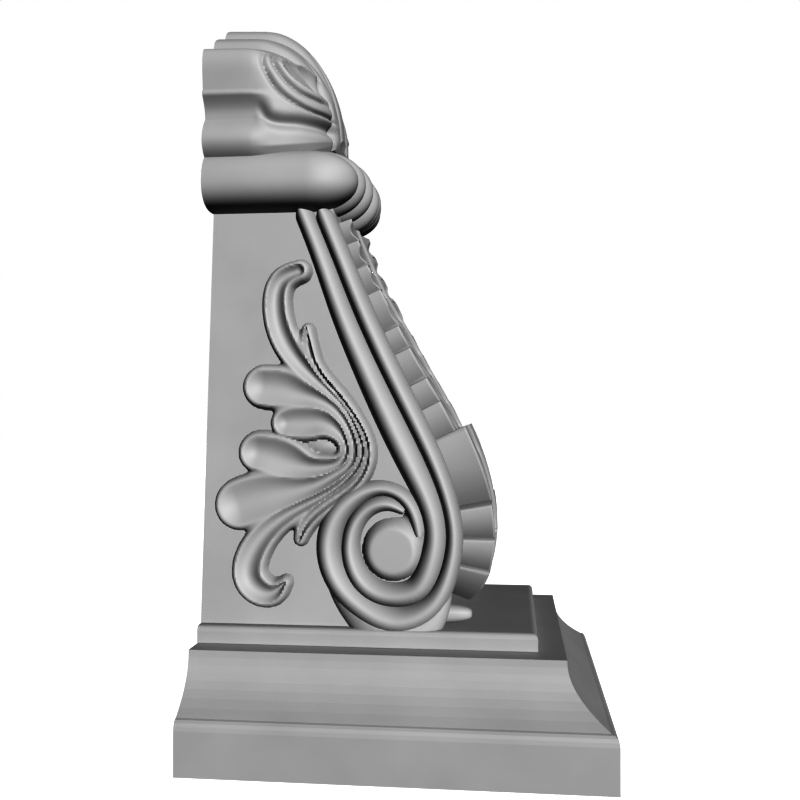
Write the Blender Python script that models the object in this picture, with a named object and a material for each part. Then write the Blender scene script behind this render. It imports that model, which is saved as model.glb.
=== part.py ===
"""Carved acanthus bracket standing on a thin slab and a square moulded plinth.

The flat back stands against the wall, +X points away from the wall, +Z is up, and the origin is
the middle of the plinth's underside.  Sizes are in metres.  The carving is a free form, so its
places are given in shares of the carved height: one share is BODY_HEIGHT / CARVED_SHARES.
"""
import bmesh
import bpy
import numpy as np

# Driving dimensions
BODY_HEIGHT = 0.315
SLAB_THICKNESS = 0.0083
SLAB_ARRIS = 0.0026
SLAB_SIDE_MARGIN = 0.0058
SLAB_FRONT_MARGIN = 0.0191
PLINTH_LEDGE = 0.0128
PLINTH_FLARE = 0.0215
PLINTH_NOSING = 0.0035
PLINTH_NOSING_RISE = 0.0050
PLINTH_BLOCK_HEIGHT = 0.0211
PLINTH_COVE_HEIGHT = 0.0268
PIECE_GAP = 0.0003

# The carved height counts this many shares, and the body's other sizes are given in them
CARVED_SHARES = 315.0
SHARE = BODY_HEIGHT / CARVED_SHARES
BODY_HALF_WIDTH = 59.9
BODY_TAPER = 0.0974
BODY_REACH = 146.6
CORE_TOP = 245.0
CORE_TOP_REACH = 52.0
BEHIND_WALL = 3.0
CORE_INSET = 1.6
RELIEF_ROOT = 3.0

# Sizes that follow from the driving ones
SLAB_HALF_WIDTH = BODY_HALF_WIDTH * SHARE + SLAB_SIDE_MARGIN
SLAB_LENGTH = BODY_REACH * SHARE + SLAB_FRONT_MARGIN
PLINTH_HALF_WIDTH = SLAB_HALF_WIDTH + PLINTH_LEDGE + PLINTH_FLARE
PLINTH_DEPTH = SLAB_LENGTH + PLINTH_LEDGE + PLINTH_FLARE
PLINTH_HEIGHT = PLINTH_BLOCK_HEIGHT + PLINTH_NOSING_RISE + PLINTH_COVE_HEIGHT
WALL_X = -PLINTH_DEPTH / 2
SLAB_Z = PLINTH_HEIGHT + PIECE_GAP
BODY_Z = SLAB_Z + SLAB_THICKNESS + PIECE_GAP

# Front edge of the body from the collar down to the foot: distance from the wall, height
FRONT_EDGE = [(64.5, 208), (73.5, 182), (84.5, 156), (94.7, 134), (113.8, 96), (126.7, 62),
              (129.2, 39), (125, 17), (117.5, -3)]

# Scroll strands, each from the collar down the rail and round the volute:
# distance from the wall, height, half width
OUTER_STRAND = [(57.5, 207, 4.0), (66.8, 185, 4.0), (79.4, 155, 4.1), (92.5, 127.5, 4.2), (115.8, 80, 3.6),
                (125.3, 43.5, 3.4), (114.8, 12.8, 4.8), (98, 6, 5.6), (80, 13.5, 5.8), (65, 39, 6.3),
                (77.5, 62, 5.1), (89.5, 66, 4.1), (100.5, 62, 3.9), (107, 53, 3.9), (109, 44, 2.9)]
INNER_STRAND = [(47, 208, 4.1), (57, 184, 4.3), (68.5, 154, 4.9), (80.5, 127, 5.6), (107, 74, 5.5),
                (116, 45.5, 4.9), (107, 20.5, 6.2), (96.5, 17.5, 6.2), (85, 21.5, 6.3),
                (77.5, 42, 5.3), (87, 57.5, 4.1), (94.5, 59, 3.4), (102.5, 54.5, 1.9)]
STRAND_HEIGHT = 8.0
STRAND_OVERLAP = 0.9
VOLUTE_EYE = (97.4, 37.4)
EYE_RADIUS = 14.2
EYE_HEIGHT = 7.2

# Flutes of the side leaf, each from its upper lobe round the eye to its lower lobe:
# distance from the wall, height, half width between the rims
LEAFLET_FLUTE = [(51.5, 146, 0.5), (52, 138.5, 2.0), (60.5, 121, 1.4), (75, 103.5, 1.1),
                 (83, 85, 1.4), (80.5, 75, 1.8), (65, 61, 2.5), (56.5, 54, 2.5), (50, 42, 0.7)]
STEM_FLUTE = [(49, 176.5, 3.0), (38.5, 171.5, 4.1), (35.5, 156, 4.8), (42.5, 136.5, 4.8),
              (57, 120, 3.2), (72.5, 104, 1.8), (80, 85, 1.5), (72, 71, 1.8), (50, 57.5, 3.0),
              (29.5, 40.5, 5.2), (26.5, 21, 5.9), (36.5, 16, 3.9), (43, 21, 0.6)]
UPPER_LOBE_FLUTE = [(23.5, 118, 7.5), (32.5, 117, 8.5), (49, 113.5, 6.2), (66, 106, 3.0),
                    (76, 85, 2.3), (68.5, 74.5, 2.9), (58.5, 69, 3.9), (48, 66, 6.2),
                    (34.5, 63.5, 9.4), (22.5, 60, 10.4), (11.5, 56, 9.4)]
MIDDLE_LOBE_FLUTE = [(38.5, 98.5, 4.5), (45, 99.5, 6.5), (60, 99.5, 5.7), (70.5, 91.5, 2.2),
                     (72, 85, 1.9), (69.5, 80, 2.5), (53, 77.5, 5.2), (43, 80.5, 8.4),
                     (32, 84, 8.2), (22, 85, 7.0)]
LEAF_HEIGHTS = (6.3, 7.3, 6.9, 7.6)
LEAF_FLANK = 2.6
LEAF_HOLLOW = 3.2
FLUTE_DEEPEST = 0.42

# Front leaf: lobes run up from the notches on its edge, the lower tier is the thicker one
LEAF_NOTCHES = [203, 191.5, 178.5, 165, 145.5, 134, 118, 106, 91, 56, 41.5, 28, 11.5]
LOWER_TIER_TOP = 91.0
FRONT_LEAF_SHARE = 0.84
LOBE_UNDERCUT = 0.5
UNDERCUT_POWER = 1.6
VEIN_RISE = 1.6
LEAF_TIP = (47.5, 6.5, 134.0)
LEAF_TIP_HEIGHT = 5.0
LEAF_TIP_TAPER = 20.0

# Thickness of the front leaf, as height and thickness: at the edges and at the middle of each tier
UPPER_EDGE = [(101, 10.0), (120, 8.8), (146, 7.6), (165, 6.8), (178, 5.5), (203, 5.5)]
UPPER_MIDDLE = [(95, 10.4), (111, 9.6), (144, 7.6), (166, 4.6), (203, 2.6)]
LOWER_EDGE = [(11.5, 9.5), (20, 13.5), (28, 15.3), (42, 16.0), (91, 15.6)]
LOWER_MIDDLE_RISE = -1.0

# Collar of rolled gadroons: middle of each across the bracket, half width, height of its middle,
# half height, distance from the wall to its nose
COLLAR_ROLL = (42.0, 18.8, 222.0, 15.2, 76.0)
COLLAR_LEAN = 0.12
GADROONS = [(30.0, 11.5, 222.5, 17.6, 78.2), (15.5, 11.0, 222.0, 18.5, 80.0),
            (0.0, 9.5, 220.0, 19.0, 81.0)]
GADROON_NOSE = 24.0

# Turned-over crown leaf: half outline at the wall, from the collar up to the top
CROWN_OUTLINE = [(48, 228), (57, 235), (60, 240), (57.7, 245.7), (54.3, 251.7), (56.6, 256),
                 (59.2, 263), (58.2, 270.5), (59, 279), (57.5, 285.5), (52.5, 288), (40.3, 292.5),
                 (36.3, 298), (20, 305), (14, 310), (0, 315)]
CROWN_FLUTE_END = 28.0
CROWN_CENTRE = (20.0, 249.5)
CROWN_NOSE = 43.3
CROWN_PLAN_POWER = 0.6
CRESCENTS = [[(31.5, 287, 1.0), (32.5, 279, 1.8), (39, 269, 2.3), (49, 262.5, 2.4), (60, 261.5, 1.6)],
             [(37, 285, 0.8), (39.5, 277, 1.6), (46, 269.5, 1.9), (54, 266.5, 1.9), (60.5, 268.5, 1.2)],
             [(28.5, 260, 1.2), (38, 257, 2.6), (50, 254.5, 2.6), (60, 255.5, 1.4)],
             [(30, 241, 2.5), (42, 243.5, 3.4), (56, 246, 2.6)]]
CRESCENT_HEIGHT = 2.8
CRESCENT_FLANK = 0.9


def new_object(name, mesh_data):
    """Link a mesh to the scene under the sub-part's name."""
    obj = bpy.data.objects.new(name, mesh_data)
    bpy.context.scene.collection.objects.link(obj)
    return obj


def loft(name, rings):
    """Close a run of equally long rings into one solid body with its faces pointing out."""
    shell = bmesh.new()
    rows = [[shell.verts.new(point) for point in ring] for ring in rings]
    count = len(rows[0])
    for first, second in zip(rows, rows[1:]):
        for i in range(count):
            j = (i + 1) % count
            shell.faces.new((first[i], first[j], second[j], second[i]))
    shell.faces.new(rows[0][::-1])
    shell.faces.new(rows[-1])
    bmesh.ops.triangulate(shell, faces=shell.faces[:])
    bmesh.ops.recalc_face_normals(shell, faces=shell.faces[:])
    mesh_data = bpy.data.meshes.new(name)
    shell.to_mesh(mesh_data)
    shell.free()
    return new_object(name, mesh_data)


def combine(target, tools, operation):
    """Fuse or cut with the tools, keep the result as the target's mesh and drop the tools.

    The strokes cross each other at shallow angles, where the exact solver leaves open edges.
    """
    for tool in tools:
        tool.hide_render = True
        tool.display_type = "WIRE"
        boolean = target.modifiers.new(tool.name, "BOOLEAN")
        boolean.operation = operation
        boolean.solver = "MANIFOLD"
        boolean.object = tool
    bpy.context.view_layer.update()
    evaluated = target.evaluated_get(bpy.context.evaluated_depsgraph_get())
    result = bpy.data.meshes.new_from_object(evaluated)
    target.modifiers.clear()
    target.data = result
    for tool in tools:
        bpy.data.objects.remove(tool, do_unlink=True)
    return target


def spline(points):
    """Second derivatives of a natural cubic curve through the points, by chord length."""
    points = np.asarray(points, float)
    steps = np.hypot(*np.diff(points[:, :2], axis=0).T)
    knots = np.concatenate(([0.0], np.cumsum(steps)))
    size = len(points)
    matrix = np.eye(size)
    target = np.zeros_like(points)
    for i in range(1, size - 1):
        before, after = steps[i - 1], steps[i]
        matrix[i, i - 1:i + 2] = before, 2 * (before + after), after
        slope_after = (points[i + 1] - points[i]) / after
        slope_before = (points[i] - points[i - 1]) / before
        target[i] = 6 * (slope_after - slope_before)
    return points, knots, np.linalg.solve(matrix, target)


def along(curve, place):
    """Point of the curve at a place measured along its chords, run on straight past its ends."""
    points, knots, bend = curve
    inside = np.clip(place, 0.0, knots[-1])
    i = min(int(np.searchsorted(knots, inside, side="right")) - 1, len(knots) - 2)
    step = knots[i + 1] - knots[i]
    a = (knots[i + 1] - inside) / step
    b = (inside - knots[i]) / step
    value = a * points[i] + b * points[i + 1]
    value = value + ((a ** 3 - a) * bend[i] + (b ** 3 - b) * bend[i + 1]) * step ** 2 / 6
    slope = (points[i + 1] - points[i]) / step
    slope = slope + ((1 - 3 * a ** 2) * bend[i] + (3 * b ** 2 - 1) * bend[i + 1]) * step / 6
    direction = slope[:2] / np.hypot(*slope[:2])
    value[:2] += direction * (place - inside)
    return value, direction


def body_point(x, y, z):
    """Shares of the carved height turned into metres in the bracket's own frame."""
    return (WALL_X + x * SHARE, y * SHARE, BODY_Z + z * SHARE)


def side_surface(x, z):
    """Half width of the plain tapered side at a height."""
    return BODY_HALF_WIDTH - BODY_TAPER * z


def crown_surface(x, z):
    """Half width of the crown leaf at a place on its side."""
    lean = np.clip((x - CROWN_CENTRE[0]) / CROWN_NOSE, 0.0, 0.97)
    shrink = np.sqrt(1 - lean ** 2)
    at_wall = CROWN_CENTRE[1] + (z - CROWN_CENTRE[1]) / shrink
    widths, heights = np.array(CROWN_OUTLINE).T
    return np.interp(at_wall, heights, widths) * shrink ** CROWN_PLAN_POWER


def flute_profile(half, flank, hollow):
    """Cross-section of a gouged flute: a steep flank, a rim, a hollow floor and back."""
    full = half + flank
    hollow = min(hollow, 0.1 * half)
    floor = [(-half + 2 * half * u, 1.0 - 6.75 * u * (1 - u) ** 2 * hollow) for u in (FLUTE_DEEPEST,)]
    left = [(-full, 0.0), (-half - 0.5 * flank, 0.82), (-half, 1.0)]
    right = [(half, 1.0), (half + 0.5 * flank, 0.82), (full, 0.0)]
    return left + floor + right


def bead_profile(half, flank, hollow):
    """Cross-section of a plain rounded strand."""
    full = half + flank
    return [(q * full, (1 - abs(q) ** 2.2) ** 0.6) for q in (-1.0, -0.75, 0.0, 0.75, 1.0)]


def stroke(name, points, height, flank, hollow, profile, surface, side, stations):
    """Carve one stroke: a profile swept along its line, rounded at both ends."""
    curve = spline(points)
    length = curve[1][-1]
    first_cap = points[0][2] + flank
    last_cap = points[-1][2] + flank
    ends = 0.5 - 0.5 * np.cos(np.linspace(0.0, np.pi, stations))
    ends = 0.5 * ends + 0.5 * np.linspace(0.0, 1.0, stations)
    rings = []
    for share in 0.004 + 0.992 * ends:
        place = share * (length + 2 * flank)
        left = length + 2 * flank - place
        near, cap = min((place, first_cap), (left, last_cap), key=lambda pair: pair[0] / pair[1])
        (x, z, half), (dx, dz) = along(curve, place - flank)
        half = max(half, 0.3)
        narrow = np.sqrt(1 - (1 - min(near / cap, 1.0)) ** 2)
        rise = np.sqrt(1 - (1 - min(near / flank, 1.0)) ** 2)
        dip = np.clip((near - flank) / cap, 0.0, 1.0)
        ring = []
        for across, level in profile(half, flank, hollow * dip):
            px = x - dz * across * narrow
            pz = z + dx * across * narrow
            ring.append((px, pz, level * height * rise))
        ring.append((ring[-1][0], ring[-1][1], -RELIEF_ROOT))
        ring.insert(0, (ring[0][0], ring[0][1], -RELIEF_ROOT))
        rings.append([body_point(px, side * (surface(px, pz) + h), pz) for px, pz, h in ring])
    return loft(name, rings)


def boss(name, centre, radius, height, side):
    """Low domed disc in the eye of the volute."""
    rings = []
    turn = np.linspace(0.0, 2 * np.pi, 21)[:-1]
    for reach, level in ((1.0, -RELIEF_ROOT), (1.0, 0.0), (0.93, 0.55), (0.8, 0.86), (0.45, 1.0)):
        h = level if level < 0 else level * height
        xs = centre[0] + radius * reach * np.cos(turn)
        zs = centre[1] + radius * reach * np.sin(turn)
        rings.append([body_point(x, side * (side_surface(x, z) + h), z) for x, z in zip(xs, zs)])
    return loft(name, rings)


def core_block():
    """Tapered block behind the carving, with the curved front edge of the rails."""
    curve = spline(FRONT_EDGE)
    front = []
    for share in np.linspace(0.0, 1.0, 16):
        (x, z), (dx, dz) = along(curve, share * curve[1][-1])
        front.append((x + dz * CORE_INSET, z - dx * CORE_INSET))
    outline = [(-BEHIND_WALL, CORE_TOP), (CORE_TOP_REACH, CORE_TOP)] + front + [(-BEHIND_WALL, front[-1][1])]
    rings = []
    for side in (-1, 1):
        rings.append([body_point(x, side * side_surface(x, z), z) for x, z in outline])
    return loft("core", rings)


def front_leaf():
    """Two-tiered leaf down the front: undercut lobes with sharp notches and a middle vein."""
    curve = spline(FRONT_EDGE)
    sample = np.linspace(0.0, curve[1][-1], 200)
    heights = np.array([along(curve, place)[0][1] for place in sample])
    lanes = np.array([-1.0, -0.5, 0.0, 0.5, 1.0])
    rings = []
    for top, bottom in zip(LEAF_NOTCHES, LEAF_NOTCHES[1:]):
        for share in (0.02, 0.6, 0.98):
            level = top + (bottom - top) * share
            place = np.interp(-level, -heights, sample)
            (x, z), (dx, dz) = along(curve, place)
            undercut = LOBE_UNDERCUT * (top - bottom) * share ** UNDERCUT_POWER
            half = FRONT_LEAF_SHARE * side_surface(x, level) - undercut
            rings.append(leaf_ring(x, z, (-dz, dx), level, half, lanes))
    return loft("front_leaf", rings)


def leaf_thickness(level):
    """Thickness of the front leaf at its edge and its middle."""
    if level <= LOWER_TIER_TOP:
        edge = np.interp(level, *np.array(LOWER_EDGE).T)
        return edge, edge + LOWER_MIDDLE_RISE
    return np.interp(level, *np.array(UPPER_EDGE).T), np.interp(level, *np.array(UPPER_MIDDLE).T)


def leaf_ring(x, z, normal, level, half, lanes):
    """One cross-section of the front leaf."""
    edge, middle = leaf_thickness(level)
    heights = edge + (middle - edge) * (1 - lanes ** 2) + VEIN_RISE * (lanes == 0.0)
    ring = [(x - normal[0] * RELIEF_ROOT, -half, z - normal[1] * RELIEF_ROOT)]
    for lane, h in zip(lanes, heights):
        ring.append((x + normal[0] * h, half * lane, z + normal[1] * h))
    ring.append((x - normal[0] * RELIEF_ROOT, half, z - normal[1] * RELIEF_ROOT))
    return [body_point(*point) for point in ring]


def tongue(name, middle, half_width, height, half_height, nose, tip_length, lean=0.0):
    """Round bar running forward from the wall to a rounded nose."""
    turn = np.linspace(0.0, 2 * np.pi, 13)[:-1]
    forward = np.concatenate(([0.0], np.sin(np.linspace(0.35, 0.5 * np.pi - 0.08, 4))))
    rings = []
    for reach in np.concatenate(([-1.0], forward)):
        x = -BEHIND_WALL if reach < 0 else nose - tip_length + tip_length * reach
        shrink = 1.0 if reach <= 0 else np.sqrt(1 - reach ** 2)
        ys = middle + half_width * shrink * np.sign(np.cos(turn)) * abs(np.cos(turn)) ** 0.85
        zs = height + half_height * shrink * np.sign(np.sin(turn)) * abs(np.sin(turn)) ** 0.85
        ys = ys - lean * (zs - height)
        rings.append([body_point(x, y, z) for y, z in zip(ys, zs)])
    return loft(name, rings)


def collar():
    """Side rolls and the nested gadroons that hang over the front."""
    pieces = []
    for side in (-1, 1):
        middle, half_width, height, half_height, nose = COLLAR_ROLL
        pieces.append(tongue("roll", side * middle, half_width, height, half_height, nose,
                             GADROON_NOSE, side * COLLAR_LEAN))
    for middle, half_width, height, half_height, nose in GADROONS:
        for side in (-1, 1) if middle else (1,):
            pieces.append(tongue("gadroon", side * middle, half_width, height, half_height, nose,
                                 GADROON_NOSE))
    return pieces


def crown():
    """Fluted leaf that runs forward from the wall and turns over to a blunt nose."""
    half = CROWN_OUTLINE
    outline = [(-y, z) for y, z in half] + [(y, z) for y, z in half[-2::-1]]
    rings = [[body_point(x, y, z) for y, z in outline] for x in (-BEHIND_WALL, CROWN_FLUTE_END)]
    start = np.arcsin((CROWN_FLUTE_END - CROWN_CENTRE[0]) / CROWN_NOSE)
    for lean in np.linspace(start, 0.5 * np.pi, 8)[1:]:
        shrink = max(np.cos(lean), 0.06)
        x = CROWN_CENTRE[0] + CROWN_NOSE * np.sin(lean)
        rings.append([body_point(x, y * shrink ** CROWN_PLAN_POWER,
                                 CROWN_CENTRE[1] + (z - CROWN_CENTRE[1]) * shrink)
                      for y, z in outline])
    return loft("crown", rings)


def side_relief(side):
    """Scroll band, volute and leaf on one side."""
    pieces = []
    for points, count in ((OUTER_STRAND, 30), (INNER_STRAND, 26)):
        pieces.append(stroke("strand", points, STRAND_HEIGHT, STRAND_OVERLAP, 0.0, bead_profile,
                             side_surface, side, count))
    pieces.append(boss("volute_eye", VOLUTE_EYE, EYE_RADIUS, EYE_HEIGHT, side))
    flutes = (LEAFLET_FLUTE, STEM_FLUTE, UPPER_LOBE_FLUTE, MIDDLE_LOBE_FLUTE)
    for points, height, count in zip(flutes, LEAF_HEIGHTS, (15, 18, 16, 14)):
        pieces.append(stroke("flute", points, height, LEAF_FLANK, LEAF_HOLLOW / height,
                             flute_profile, side_surface, side, count))
    for points in CRESCENTS:
        pieces.append(stroke("crescent", points, CRESCENT_HEIGHT, CRESCENT_FLANK, 0.6, bead_profile,
                             crown_surface, side, 9))
    tip_middle, tip_half, tip_nose = LEAF_TIP
    pieces.append(tongue("foot_tip", side * tip_middle, tip_half, LEAF_TIP_HEIGHT, LEAF_TIP_HEIGHT,
                         tip_nose, LEAF_TIP_TAPER))
    return pieces


def cutting_block():
    """Block that keeps only what stands in front of the wall and above the slab."""
    reach = 200.0
    rings = []
    for z in (0.0, 2 * CARVED_SHARES):
        rings.append([body_point(x, y, z) for x, y in
                      ((0.0, -reach), (reach, -reach), (reach, reach), (0.0, reach))])
    return loft("keep", rings)


def carved_body():
    """The carved work, fused into one solid."""
    body = core_block()
    pieces = [front_leaf(), crown()] + collar() + side_relief(-1) + side_relief(1)
    combine(body, pieces, "UNION")
    combine(body, [cutting_block()], "INTERSECT")
    body.name = "carved_body"
    body.data.name = "carved_body"
    return body


def stepped_block(name, depth, half_width, base, levels):
    """Moulded block, flat against the wall: each level is a height and how far it steps in."""
    rings = []
    for height, inset in levels:
        front = WALL_X + depth - inset
        side = half_width - inset
        rings.append([(WALL_X, -side, base + height), (front, -side, base + height),
                      (front, side, base + height), (WALL_X, side, base + height)])
    return loft(name, rings)


def plinth_slab():
    """Thin slab with an eased top edge."""
    levels = [(0.0, 0.0)]
    for turn in np.linspace(0.0, 0.5 * np.pi, 5):
        levels.append((SLAB_THICKNESS - SLAB_ARRIS + SLAB_ARRIS * np.sin(turn),
                       SLAB_ARRIS * (1 - np.cos(turn))))
    return stepped_block("plinth_slab", SLAB_LENGTH, SLAB_HALF_WIDTH, SLAB_Z, levels)


def plinth():
    """Square plinth: a plain block, a small round nosing and a cove up to the flat top."""
    levels = [(0.0, 0.0)]
    for turn in np.linspace(0.0, 0.5 * np.pi, 5):
        levels.append((PLINTH_BLOCK_HEIGHT + PLINTH_NOSING_RISE * np.sin(turn),
                       PLINTH_NOSING * (1 - np.cos(turn))))
    for share in np.linspace(0.0, 1.0, 9)[1:]:
        levels.append((PLINTH_BLOCK_HEIGHT + PLINTH_NOSING_RISE + PLINTH_COVE_HEIGHT * share,
                       PLINTH_NOSING + (PLINTH_FLARE - PLINTH_NOSING) * (1 - (1 - share) ** 2.2)))
    return stepped_block("plinth", PLINTH_DEPTH, PLINTH_HALF_WIDTH, 0.0, levels)


def primer(obj, colour, roughness):
    """Grey sprayed primer on carved wood."""
    material = bpy.data.materials.new(obj.name + "_primer")
    material.use_nodes = True
    shader = material.node_tree.nodes["Principled BSDF"]
    shader.inputs["Base Color"].default_value = (*colour, 1.0)
    shader.inputs["Roughness"].default_value = roughness
    shader.inputs["Metallic"].default_value = 0.0
    obj.data.materials.clear()
    obj.data.materials.append(material)


def main():
    for old in list(bpy.data.objects):
        bpy.data.objects.remove(old, do_unlink=True)
    primer(plinth(), (0.36, 0.36, 0.36), 0.55)
    primer(plinth_slab(), (0.36, 0.36, 0.36), 0.55)
    body = carved_body()
    primer(body, (0.38, 0.38, 0.38), 0.5)
    body.data.shade_smooth()
    body.data.set_sharp_from_angle(angle=np.radians(40.0))


main()
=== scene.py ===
"""Looks of a carved scroll bracket on its slab and square plinth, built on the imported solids.

Run as a script, the file loads the solids, registers its operators and calls them in order.
The carving is given in shares of the body's height (one share is close to 1 mm): the distance
from the wall, then the height above the body's underside, then a half width.
"""

import math

import bmesh
import bpy
import numpy as np
from bpy.props import FloatProperty, FloatVectorProperty, PointerProperty
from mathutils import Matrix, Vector


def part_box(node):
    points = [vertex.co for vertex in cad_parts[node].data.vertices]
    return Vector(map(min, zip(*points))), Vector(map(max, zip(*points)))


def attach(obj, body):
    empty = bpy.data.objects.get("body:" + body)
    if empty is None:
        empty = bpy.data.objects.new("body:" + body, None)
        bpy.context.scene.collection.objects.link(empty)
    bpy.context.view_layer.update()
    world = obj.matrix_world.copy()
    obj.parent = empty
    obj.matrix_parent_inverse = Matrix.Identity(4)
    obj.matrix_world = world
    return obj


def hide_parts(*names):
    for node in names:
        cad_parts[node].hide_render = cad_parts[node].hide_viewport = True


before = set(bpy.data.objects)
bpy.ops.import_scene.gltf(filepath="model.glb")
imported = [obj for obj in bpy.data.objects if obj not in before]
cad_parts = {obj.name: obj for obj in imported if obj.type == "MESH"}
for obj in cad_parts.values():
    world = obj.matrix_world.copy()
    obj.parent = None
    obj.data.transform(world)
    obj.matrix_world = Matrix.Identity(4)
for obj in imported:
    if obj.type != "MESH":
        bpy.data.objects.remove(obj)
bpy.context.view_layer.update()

bl_info = {
    "name": "Carved Scroll Bracket",
    "version": (1, 0, 0),
    "blender": (4, 5, 0),
    "location": "3D View > Sidebar > Bracket",
    "description": "Builds a carved acanthus bracket, its slab and its moulded plinth",
    "category": "Object",
}

BODY_LOW, BODY_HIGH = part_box("carved_body")
WALL_X = BODY_LOW.x
BODY_Z = BODY_LOW.z
CARVED_SHARES = 315.0
SHARE = (BODY_HIGH.z - BODY_LOW.z) / CARVED_SHARES

# Tapered block behind the carving
BODY_HALF_WIDTH = 59.9
BODY_TAPER = 0.0974
CORE_TOP = 245.0
CORE_TOP_REACH = 52.0
CORE_INSET = 1.6
CORE_STATIONS = 80
BEHIND_WALL = 3.0
RELIEF_ROOT = 3.0
KEEP_REACH = 200.0
FRONT_EDGE = [(64.5, 208), (73.5, 182), (84.5, 156), (94.7, 134), (113.8, 96), (126.7, 62),
              (129.2, 39), (125, 17), (117.5, -3)]

# Scroll strands, from the collar down the rail and round the volute; a strand has its stations
# along and its lanes across
OUTER_STRAND = [(57.5, 207, 4.0), (66.8, 185, 4.0), (79.4, 155, 4.1), (92.3, 127.5, 4.2), (105.2, 102, 4.0),
                (115.8, 80, 3.6), (122.8, 61, 3.3), (125.6, 43.5, 3.3), (122.8, 26, 3.8), (114.5, 11, 4.8),
                (98, 3.8, 5.6), (80, 11, 5.6), (67.5, 24.5, 5.4), (63.8, 39, 5.3), (67, 52, 5.2),
                (76.5, 62.5, 4.4), (89.5, 67, 3.0), (100, 63.5, 3.0), (106.5, 54.5, 3.2), (109, 44, 2.6)]
INNER_STRAND = [(47, 208, 4.1), (57, 184, 4.3), (68.5, 154, 4.9), (80.5, 127, 5.6), (94, 99, 6.1),
                (106.5, 74, 5.6), (113.8, 58, 5.0), (116.3, 44, 4.8), (113.8, 30, 5.3),
                (107.5, 18.8, 5.2), (96.5, 15.7, 4.9), (84, 19.5, 4.8), (76.3, 30.5, 4.2),
                (75, 42, 3.7), (78.5, 52, 3.5), (85.5, 58.3, 3.3), (93.5, 59.5, 2.8), (101.5, 56, 1.6)]
# Wide soft flank under the volute's outer strand, cut off flat on the slab
VOLUTE_FLANK = [(65, 36, 3.0), (68.5, 23, 5.0), (79, 9.5, 8.5), (93, 0, 10.5), (106.5, -1, 9.2),
                (116.5, 6, 5.2), (121.5, 19, 2.6)]
VOLUTE_FLANK_SHARE = 0.55
OUTER_STATIONS = 150
INNER_STATIONS = 135
STRAND_LANES = 25
VOLUTE_FLANK_STATIONS = 60
VOLUTE_FLANK_LANES = 17
STRAND_END_TRIM = 0.004
STRAND_OVERLAP = 0.9
STRAND_ROUNDNESS = 0.66
STRAND_FULL = 5.6
VOLUTE_EYE = (95.7, 37.4)
EYE_RADIUS = 15.4
EYE_HEIGHT = 7.4
EYE_EDGE = 5.5
EYE_WEB = 7.0
EYE_DOME = 0.9
EYE_BURIED = -2.0
EYE_TAIL_STATIONS = 40
EYE_TAIL = [(101, 60.5, 2.6), (106, 54.5, 3.4), (109, 46, 3.4)]
EYE_WINDOW = (78.0, 116.0, 20.0, 66.0)

# Flutes of the side leaf, from the upper lobes round the eye to the lower lobes
SIDE_FLUTES = [
    [(51.5, 146, 0.5), (52, 138.5, 2.0), (55.5, 128.5, 1.6), (60.5, 121, 1.4), (68, 112.5, 1.2),
     (75, 103.5, 1.1), (80, 95.5, 1.1), (83, 85, 1.4), (80.5, 75, 1.8), (74, 67.5, 2.3),
     (65, 61, 2.5), (56.5, 54, 2.5), (52, 48, 2.0), (50, 42, 0.7)],
    [(49, 176.5, 3.0), (38.5, 171.5, 4.1), (35.5, 156, 4.8), (42.5, 136.5, 4.8), (57, 120, 3.2),
     (72.5, 104, 1.8), (77, 95.5, 1.3), (80, 85, 1.5), (72, 71, 1.8), (50, 57.5, 3.0),
     (29.5, 40.5, 5.2), (26.5, 21, 5.9), (36.5, 16, 3.9), (43, 21, 0.6)],
    [(23.5, 118, 7.5), (32.5, 117, 8.5), (41.5, 116, 8.0), (49, 113.5, 6.2), (58.5, 110.5, 4.1),
     (66, 106, 3.0), (71, 100, 2.6), (74.5, 93, 2.3), (76, 85, 2.3), (74.5, 79.5, 2.5),
     (68.5, 74.5, 2.9), (58.5, 69, 3.9), (48, 66, 6.2), (34.5, 63.5, 9.4), (22.5, 60, 10.4),
     (11.5, 56, 9.4)],
    [(38.5, 98.5, 4.5), (45, 99.5, 6.5), (52.5, 99.5, 6.9), (60, 99.5, 5.7), (66.5, 96.5, 4.0),
     (70.5, 91.5, 2.2), (72, 85, 1.9), (69.5, 80, 2.5), (62.5, 77.5, 3.7), (53, 77.5, 5.2),
     (43, 80.5, 8.4), (32, 84, 8.2), (22, 85, 7.0)],
]
SIDE_LEAF_WINDOW = (3.0, 92.0, 6.0, 186.0)
SIDE_LEAF_NARROWS = (120.0, 0.45)
SIDE_LEAF_EYE = (60.5, 88.0, 11.5, 5.5)
SIDE_LEAF_EYE_FLOOR = (4.0, 2.6)
SIDE_LEAF_EYE_END = 1.4
LEAF_FLANK = 3.0
LOBE_WEB = 3.0
FIELD_STEP = 0.84

# Cross-section of a flute and of the rounded flank outside it
THINNEST_HALF = 0.3
FLUTE_STEP = 0.7
FLUTE_END_SHARE = 0.95
FLUTE_END_CUT = 0.6
FLUTE_POWER = 1.3
FLANK_POWER = 2.2
FLANK_END = 1.35
FAR_AWAY = 1e3

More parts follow.
